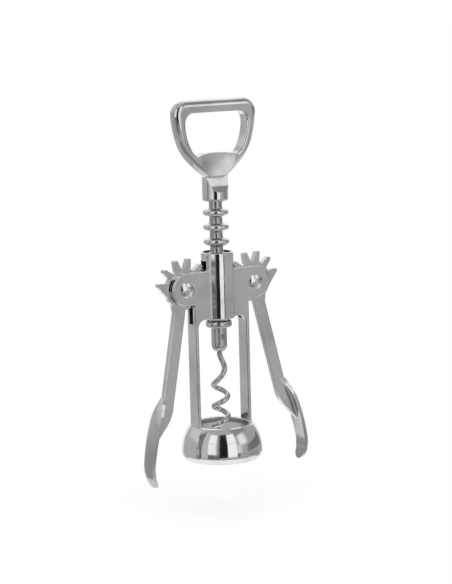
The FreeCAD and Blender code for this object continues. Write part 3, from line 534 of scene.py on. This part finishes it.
class CORKSCREW_OT_rack(bpy.types.Operator):
    """Finish of the ringed rack and of the ferrule under it"""
    bl_idname = "corkscrew.rack"
    bl_label = "Rack and ferrule"

    def execute(self, context):
        look = context.scene.corkscrew_plating

        # Painted shade: the roots between the rack's rings are painted darker grey, with a little more roughness.
        def between_rings(tree, spot):
            x, y = tree.take("XY", spot)
            return tree.step(distance(x, y), *BETWEEN_RINGS)

        dress(["rack_sleeve"], plating("plated_rack", (look.bright, look.dull), turned_marks, tool_marks,
                                       shaded_place=(between_rings, look.painted_shade_grey, look.greased_haze)))
        dress(["worm_ferrule"], plating("plated_ferrule", (look.dull, look.steel_and_shade), turned_marks, tool_marks,
                                        extra_haze=look.greased_haze))
        return {"FINISHED"}


class CORKSCREW_OT_handle(bpy.types.Operator):
    """Finish of the turning handle with its cap lifter"""
    bl_idname = "corkscrew.handle"
    bl_label = "Handle"

    def execute(self, context):
        look = context.scene.corkscrew_plating
        strokes = buffed(HANDLE_STROKES)

        def marks(tree, spot):
            x, z = tree.take("XZ", spot)
            in_dish = tree.step(distance(x, z - DISH_HEIGHT), *IN_DISH)
            return strokes(tree, spot) + in_dish * look.satin

        dress(["opener_handle"], plating("plated_handle", (look.bright, look.dull), marks, ripples))
        return {"FINISHED"}


class CORKSCREW_OT_worm(bpy.types.Operator):
    """Finish of the worm"""
    bl_idname = "corkscrew.worm"
    bl_label = "Worm"

    def execute(self, context):
        look = context.scene.corkscrew_plating
        dress(["worm"], plating("plated_wire", (look.dull, look.steel_and_shade), wire_marks,
                                dimples(waves=380.0, detail=2.0, depth=0.9)))
        return {"FINISHED"}


# Studio -----------------------------------------------------------------------------------------

def seen(tree):
    """1 for a ray that shows the backdrop: straight, in a mirror, or through glass."""
    straight = tree.node("ShaderNodeLightPath", output="Is Camera Ray")
    mirrored = tree.node("ShaderNodeLightPath", output="Is Glossy Ray")
    through = tree.node("ShaderNodeLightPath", output="Is Transmission Ray")
    return tree.math("MAXIMUM", tree.math("MAXIMUM", straight, mirrored), through)


def make_floor(context):
    """A pale disc clear of the worm's travel: nearly white also in the metal, with a soft shadow."""
    studio = context.scene.corkscrew_studio
    shape = bmesh.new()
    bmesh.ops.create_circle(shape, cap_ends=True, segments=FLOOR_SIDES, radius=studio.floor_radius)
    mesh = bpy.data.meshes.new("floor")
    shape.to_mesh(mesh)
    shape.free()
    floor = bpy.data.objects.new("floor", mesh)
    floor.location.z = min(cad_box[0][2], WORM_POINT - RACK_TRAVEL) - studio.floor_gap
    context.scene.collection.objects.link(floor)
    material = bpy.data.materials.new("pale_floor")
    material.use_nodes = True
    tree = Tree(material.node_tree)
    paint = tree.node("ShaderNodeBsdfDiffuse", None, {"Color": (*studio.floor_colour, 1)})
    white = tree.node("ShaderNodeEmission", None, {"Color": (1, 1, 1, 1), "Strength": 1.0})
    surface = tree.node("ShaderNodeMixShader", None, {0: seen(tree) * FLOOR_GLOW, 1: paint, 2: white})
    tree.node("ShaderNodeOutputMaterial", None, {"Surface": surface})
    mesh.materials.append(material)


def make_camera(context):
    """The camera, to the front and left, looking slightly down."""
    studio = context.scene.corkscrew_studio
    turn, pitch, roll = studio.camera_bearing, studio.camera_pitch, studio.camera_roll
    heading = turn + studio.camera_yaw
    ahead = Vector((math.sin(heading) * math.cos(pitch), math.cos(heading) * math.cos(pitch),
                    -math.sin(pitch)))
    level = Vector((math.cos(heading), -math.sin(heading), 0))
    upright = level.cross(ahead)
    right = level * math.cos(roll) + upright * math.sin(roll)
    top = upright * math.cos(roll) - level * math.sin(roll)
    place = Vector((-studio.camera_distance * math.sin(turn), -studio.camera_distance * math.cos(turn),
                    studio.camera_height))
    camera = bpy.data.objects.new("camera", bpy.data.cameras.new("camera"))
    camera.matrix_world = Matrix.Translation(place) @ Matrix((right, top, -ahead)).transposed().to_4x4()
    camera.data.sensor_fit = "VERTICAL"
    camera.data.sensor_height = PICTURE_HEIGHT_MM
    camera.data.lens = studio.camera_lens
    camera.data.clip_start = NEAREST
    context.scene.collection.objects.link(camera)
    context.scene.camera = camera


def make_lamps(context):
    """Three large soft lamps that lay the shadow on the floor, and that the metal doesn't mirror."""
    for name, bearing, rise, reach, width, power in LAMPS:
        light = bpy.data.lights.new(name, "AREA")
        light.shape = "SQUARE"
        light.size = width
        light.energy = power
        lamp = bpy.data.objects.new(name, light)
        side, up = math.radians(bearing), math.radians(rise)
        back = Vector((math.sin(side) * math.cos(up), -math.cos(side) * math.cos(up), math.sin(up)))
        lamp.location = back * reach + LAMPS_AIM_AT
        lamp.rotation_mode = "QUATERNION"
        lamp.rotation_quaternion = back.to_track_quat("Z", "Y")
        lamp.visible_glossy = False
        context.scene.collection.objects.link(lamp)


def make_world(context):
    """White to the eye; the metal shows that white behind the part, and a room with light panels in front."""
    studio = context.scene.corkscrew_studio
    world = bpy.data.worlds.new("studio")
    world.use_nodes = True
    context.scene.world = world
    tree = Tree(world.node_tree)
    way = tree.node("ShaderNodeTexCoord", output="Generated")
    turn = studio.camera_bearing
    across = tree.dot(way, (math.cos(turn), -math.sin(turn), 0))
    towards = tree.dot(way, (-math.sin(turn), -math.cos(turn), 0))
    bearing = tree.math("ARCTAN2", across, towards) * math.degrees(1)
    rise = tree.math("ARCSINE", tree.take("Z", way)[0]) * math.degrees(1)
    behind = tree.step(abs(bearing), *BEHIND)
    in_front = 1 - behind
    light = studio.room + behind * (1.0 - studio.room)
    light = light + tree.step(rise, *CEILING) * (CEILING_LEVEL - light)
    for (low, high), (foot, top), blur, end_blur, kind, level in REFLECTED:
        share = tree.band(bearing, low, high, blur) * tree.band(rise, foot, top, end_blur) * in_front
        goal = level * studio.window if kind == WINDOW else level
        light = light + share * (goal - light)
    straight = tree.node("ShaderNodeLightPath", output="Is Camera Ray")
    shown = seen(tree)
    mirrored = shown - straight
    strength = straight + mirrored * light + (1 - shown) * studio.soft_light
    glow = tree.node("ShaderNodeBackground", None, {"Color": (1, 1, 1, 1), "Strength": strength})
    tree.node("ShaderNodeOutputWorld", None, {"Surface": glow})


class CORKSCREW_OT_studio(bpy.types.Operator):
    """Floor, camera, lamps and the room that the metal mirrors"""
    bl_idname = "corkscrew.studio"
    bl_label = "Studio"

    def execute(self, context):
        make_floor(context)
        make_camera(context)
        make_lamps(context)
        make_world(context)
        context.scene.view_settings.view_transform = "Standard"
        return {"FINISHED"}


# Add-on -----------------------------------------------------------------------------------------

STEPS = (CORKSCREW_OT_casting, CORKSCREW_OT_bell, CORKSCREW_OT_rivets, CORKSCREW_OT_levers,
         CORKSCREW_OT_rack, CORKSCREW_OT_handle, CORKSCREW_OT_worm, CORKSCREW_OT_studio)


class CORKSCREW_PT_steps(bpy.types.Panel):
    """The settings, and the steps in the order in which they run"""
    bl_idname = "CORKSCREW_PT_steps"
    bl_label = "Wing Corkscrew"
    bl_space_type = "VIEW_3D"
    bl_region_type = "UI"
    bl_category = "Corkscrew"

    def draw(self, context):
        for group in (context.scene.corkscrew_plating, context.scene.corkscrew_surface,
                      context.scene.corkscrew_studio):
            box = self.layout.box()
            for key in group.bl_rna.properties.keys():
                if key not in ("rna_type", "name"):
                    box.prop(group, key)
        for step in STEPS:
            self.layout.operator(step.bl_idname)


CLASSES = (PlatingSettings, SurfaceSettings, StudioSettings, *STEPS, CORKSCREW_PT_steps)


def register():
    """Adds the settings, the steps and the panel."""
    for item in CLASSES:
        bpy.utils.register_class(item)
    bpy.types.Scene.corkscrew_plating = PointerProperty(type=PlatingSettings)
    bpy.types.Scene.corkscrew_surface = PointerProperty(type=SurfaceSettings)
    bpy.types.Scene.corkscrew_studio = PointerProperty(type=StudioSettings)


def unregister():
    """Takes them out again."""
    del bpy.types.Scene.corkscrew_plating
    del bpy.types.Scene.corkscrew_surface
    del bpy.types.Scene.corkscrew_studio
    for item in reversed(CLASSES):
        bpy.utils.unregister_class(item)


def main():
    """Runs each step in turn."""
    register()
    bpy.ops.corkscrew.casting()
    bpy.ops.corkscrew.bell()
    bpy.ops.corkscrew.rivets()
    bpy.ops.corkscrew.levers()
    bpy.ops.corkscrew.rack()
    bpy.ops.corkscrew.handle()
    bpy.ops.corkscrew.worm()
    bpy.ops.corkscrew.studio()


if __name__ == "__main__":
    main()
